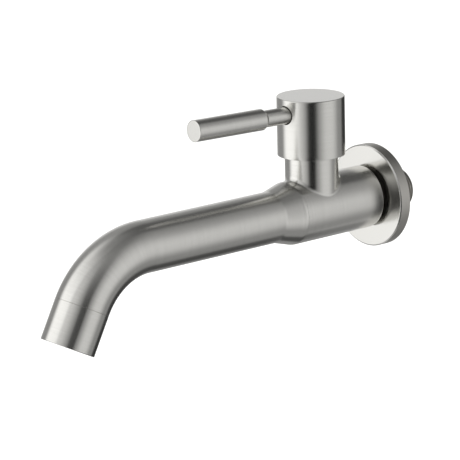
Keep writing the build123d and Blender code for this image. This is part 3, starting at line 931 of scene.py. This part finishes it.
class TAP_OT_lever(bpy.types.Operator):
    """Build the lever's thin stem and its thicker grip"""

    bl_idname = "tap.lever"
    bl_label = "Lever"

    def execute(self, context):
        size = sizes()
        columns = 96
        fine = 0.1 * MM
        mouth_edge = 0.05 * MM
        taper_edge = 0.15 * MM
        stem_start = size.stem_seat - size.stem_thread_length
        stem_end = size.grip_start + size.spigot
        stem = eased([
            (0, stem_start),
            (size.stem_thread, stem_start, fine),
            (size.stem_thread, size.stem_seat, 0),
            (size.stem_radius, size.stem_seat, fine),
            (size.stem_radius, size.grip_start, fine),
            (size.stem_thread, size.grip_start, 0),
            (size.stem_thread, stem_end, fine),
            (0, stem_end),
        ], closed=False)
        piece = woven("lever_stem_rod", [turned_rows(stem, columns)], lever_place())
        dressed(piece, "handle", ["lever_stem"], brushed_stainless())
        bore = size.stem_thread + size.grip_play
        bore_end = stem_end + size.bore_relief
        grip = eased([
            (0, bore_end),
            (bore, bore_end, 0),
            (bore, size.grip_start, 0),
            (size.stem_radius + size.grip_play, size.grip_start, mouth_edge),
            (size.grip_radius, size.grip_start + size.grip_taper, taper_edge),
            (size.grip_radius, size.grip_end, size.grip_edge),
            (0, size.grip_end),
        ], closed=False)
        piece = woven("lever_grip_rod", [turned_rows(grip, columns)], lever_place())
        dressed(piece, "handle", ["lever_grip"], brushed_stainless())
        faced(piece, lever_place().to_3x3() @ Vector((0, 0, 1)), satin_stainless())
        return {"FINISHED"}


class TAP_OT_inner_works(bpy.types.Operator):
    """Give the cartridge, the seals and the aerator their materials"""

    bl_idname = "tap.inner_works"
    bl_label = "Inner works"

    def execute(self, context):
        makers = {
            "turned_stainless": turned_stainless,
            "brass": turned_brass,
            "rubber": nitrile_rubber,
            "alumina": lapped_alumina,
            "acetal": moulded_acetal,
        }
        for entry in frame["record"]["subparts"]:
            node = frame["nodes"][entry["node"]]
            if node.hide_render:
                continue
            # The hub shows only as the dark round the lever, deep in the cap's hole, so its brass is
            # painted near black as painted shade
            hub = entry["node"] == "handle_hub"
            material = painted_shade_brass() if hub else makers[entry["material_slot"]]()
            node.data.materials.clear()
            node.data.materials.append(material)
        return {"FINISHED"}


# Stage


def band(tree, direction, middle, half, feather, narrowing=1.0):
    """Weight of a band of directions in degrees: 1 within it, fading to 0 past its soft edges."""
    away = add(tree, MATH, {0: direction, 1: math.radians(middle)}, operation="SUBTRACT")
    wrapped = add(tree, MATH, {0: away, 1: -math.pi, 2: math.pi}, operation="WRAP")
    wide = add(tree, MATH, {0: wrapped, 1: narrowing}, operation="MULTIPLY")
    off = add(tree, MATH, {0: wide}, operation="ABSOLUTE")
    fade = {"From Min": math.radians(half), "From Max": math.radians(half + feather)}
    ends = {"To Min": 1.0, "To Max": 0.0}
    return add(tree, MAP_RANGE, {"Value": off, **fade, **ends}, interpolation_type="SMOOTHSTEP")


def soft_lamp(name, place, target, sides, watts):
    """A rectangular lamp aimed at a target, which the camera doesn't see."""
    lamp = bpy.data.lights.new(name, "AREA")
    lamp.shape = "RECTANGLE"
    lamp.size, lamp.size_y = sides
    lamp.energy = watts
    holder = bpy.data.objects.new(name, lamp)
    holder.location = place
    aim = Vector(target) - holder.location
    holder.rotation_euler = aim.to_track_quat("-Z", "Y").to_euler()
    holder.visible_camera = False
    bpy.context.scene.collection.objects.link(holder)
    return holder


class TAP_OT_stage(bpy.types.Operator):
    """Set up the floor, the light tent and the camera"""

    bl_idname = "tap.stage"
    bl_label = "Stage"

    # Each card of the tent, in degrees seen from the tap: its bearing from straight ahead, half
    # width and soft edge, then the same three for its height, then how far it leans to the right
    # for each degree upwards, and its brightness
    cards = (
        (-25, 18, 31, 0, 10, 115, -0.2, 1.54),
        (-4, 6, 60, 0, 23, 87, 0.2, 0.95),
        (118, 8, 52, 5, 19, 66, 0.4, 0.87),
        (-124, 6, 34, 3, 2, 38, 0.0, 0.89),
    )
    # Gaps between the cards, laid out the same, with what share of the light they leave
    gaps = (
        (58, 12, 6, -18, 10, 75, 0.45, 0.0),
        (-166, 13, 11, -16, 12, 30, 0.0, 0.1),
        (-166, 13, 11, 52, 10, 17, 0.0, 0.5),
        (10, 14, 14, 9, 5, 9, 0.0, 0.6),
        (166, 20, 45, 58, 22, 35, 0.0, 0.56),
        (-169, 9, 8, -65, 12, 26, 0.0, 0.25),
    )
    tent_grey = 0.36

    def execute(self, context):
        stage = context.scene.tap_stage
        self.light_tent(context)
        self.floor_board(stage)
        # The tent gives the metal its reflections, so the lamp overhead only lights the rest
        key_place, key_target, key_sides = (-0.5, -0.7, 1.3), (0, -0.1, 0), (0.9, 0.9)
        key = soft_lamp("key_softbox", key_place, key_target, key_sides, stage.key_power)
        key.visible_glossy = False
        # A small card behind and below the flange, for the metal near the wall to reflect
        card_place, card_target, card_sides = (-0.01, 0.05, -0.09), (0, -0.02, -0.02), (0.1, 0.07)
        card = soft_lamp("low_card", card_place, card_target, card_sides, stage.card_power)
        card.visible_diffuse = False
        self.camera(context, stage)
        context.scene.view_settings.view_transform = "Standard"
        return {"FINISHED"}

    def light_tent(self, context):
        world = bpy.data.worlds.new("light_tent")
        world.use_nodes = True
        tree = world.node_tree
        tree.nodes.clear()
        place = add(tree, "ShaderNodeTexCoord")
        way = add(tree, "ShaderNodeSeparateXYZ", {0: place.outputs["Generated"]})
        ahead = add(tree, MATH, {0: way.outputs["Y"], 1: -1.0}, operation="MULTIPLY")
        bearing = add(tree, MATH, {0: way.outputs["X"], 1: ahead}, operation="ARCTAN2")
        height = add(tree, MATH, {0: way.outputs["Z"]}, operation="ARCSINE")
        # Bearings crowd together towards the zenith
        crowding = add(tree, MATH, {0: height}, operation="COSINE")

        def weight(middle, half, feather, high_middle, high_half, high_feather, lean):
            upright = add(tree, MATH, {0: height, 1: -lean, 2: bearing}, operation="MULTIPLY_ADD")
            across = band(tree, upright, middle, half, feather, crowding)
            high = band(tree, height, high_middle, high_half, high_feather)
            return add(tree, MATH, {0: across, 1: high}, operation="MULTIPLY")

        level = self.tent_grey
        for *shape, bright in self.cards:
            glow = add(tree, MAP_RANGE, {"Value": weight(*shape), "To Min": 0.0, "To Max": bright})
            level = add(tree, MATH, {0: level, 1: glow}, operation="MAXIMUM")
        for *shape, left in self.gaps:
            kept = add(tree, MAP_RANGE, {"Value": weight(*shape), "To Min": 1.0, "To Max": left})
            level = add(tree, MATH, {0: level, 1: kept}, operation="MULTIPLY")
        path = add(tree, "ShaderNodeLightPath")
        glossy, clear = path.outputs["Is Glossy Ray"], path.outputs["Is Transmission Ray"]
        shiny = add(tree, MATH, {0: glossy, 1: clear}, operation="MAXIMUM")
        plain = add(tree, "ShaderNodeBackground", {"Color": (1, 1, 1, 1), "Strength": 1.0})
        tent = add(tree, "ShaderNodeBackground", {"Color": (1, 1, 1, 1), "Strength": level})
        mixed = add(tree, "ShaderNodeMixShader", {0: shiny, 1: plain, 2: tent})
        add(tree, "ShaderNodeOutputWorld", {"Surface": mixed})
        context.scene.world = world

    def floor_board(self, stage):
        camera_lift = 0.25
        half = stage.floor_size / 2
        mesh = bpy.data.meshes.new("floor_board")
        corners = [(-half, -half, 0), (half, -half, 0), (half, half, 0), (-half, half, 0)]
        mesh.from_pydata(corners, [], [(0, 1, 2, 3)])
        floor = bpy.data.objects.new("floor_board", mesh)
        floor.location.z = -stage.floor_drop
        # The tent's cards stand round the tap and hide the floor from the metal
        floor.visible_glossy = False
        bpy.context.scene.collection.objects.link(floor)
        material, tree = empty_material("board_matt_white")
        path = add(tree, "ShaderNodeLightPath")
        # Matt board a little lifted for the camera, so that it shows white and keeps its shadow
        lift = add(tree, MATH, {0: path.outputs["Is Camera Ray"], 1: camera_lift}, operation="MULTIPLY")
        board = add(
            tree,
            "ShaderNodeBsdfPrincipled",
            {
                "Base Color": finish().floor,
                "Roughness": 0.9,
                "Emission Color": (1, 1, 1, 1),
                "Emission Strength": lift,
            },
        )
        # Seen from below it is clear, so that it never hides the tap
        clear = add(tree, "ShaderNodeBsdfTransparent")
        face = add(tree, "ShaderNodeNewGeometry")
        sided = add(tree, "ShaderNodeMixShader", {0: face.outputs["Backfacing"], 1: board, 2: clear})
        add(tree, "ShaderNodeOutputMaterial", {"Surface": sided})
        mesh.materials.append(material)

    def camera(self, context, stage):
        azimuth, elevation, roll = stage.camera_azimuth, stage.camera_elevation, stage.camera_roll
        back = Vector((
            math.sin(azimuth) * math.cos(elevation),
            -math.cos(azimuth) * math.cos(elevation),
            math.sin(elevation),
        ))
        level_right = Vector((0, 0, 1)).cross(back).normalized()
        level_up = back.cross(level_right)
        right = level_right * math.cos(roll) + level_up * math.sin(roll)
        up = level_up * math.cos(roll) - level_right * math.sin(roll)
        data = bpy.data.cameras.new("camera")
        data.sensor_width = 36.0
        data.lens = stage.lens
        data.clip_start = 0.05
        camera = bpy.data.objects.new("camera", data)
        turn = Matrix((right, up, back)).transposed().to_4x4()
        camera.matrix_world = Matrix.Translation(stage.camera_place) @ turn
        context.scene.collection.objects.link(camera)
        context.scene.camera = camera


class TAP_PT_pieces(bpy.types.Panel):
    """Lists the pieces of the tap and its stage"""

    bl_idname = "TAP_PT_pieces"
    bl_label = "Basin tap"
    bl_space_type = "VIEW_3D"
    bl_region_type = "UI"
    bl_category = "Tap"

    def draw(self, context):
        for operator in OPERATORS:
            self.layout.operator(operator.bl_idname)


OPERATORS = (
    TAP_OT_wall_flange,
    TAP_OT_inlet_nipple,
    TAP_OT_body,
    TAP_OT_spout,
    TAP_OT_outlet,
    TAP_OT_handle_cap,
    TAP_OT_lever,
    TAP_OT_inner_works,
    TAP_OT_stage,
)
GROUPS = {"tap_sizes": TapSizes, "tap_finish": TapFinish, "tap_stage": TapStage}


def register():
    for group in GROUPS.values():
        bpy.utils.register_class(group)
    for name, group in GROUPS.items():
        setattr(bpy.types.Scene, name, bpy.props.PointerProperty(type=group))
    for cls in (*OPERATORS, TAP_PT_pieces):
        bpy.utils.register_class(cls)


def unregister():
    for cls in reversed((*OPERATORS, TAP_PT_pieces)):
        bpy.utils.unregister_class(cls)
    for name in GROUPS:
        delattr(bpy.types.Scene, name)
    for group in GROUPS.values():
        bpy.utils.unregister_class(group)


def main():
    register()
    bpy.ops.tap.wall_flange()
    bpy.ops.tap.inlet_nipple()
    bpy.ops.tap.body()
    bpy.ops.tap.spout()
    bpy.ops.tap.outlet()
    bpy.ops.tap.handle_cap()
    bpy.ops.tap.lever()
    bpy.ops.tap.inner_works()
    bpy.ops.tap.stage()


if __name__ == "__main__":
    main()
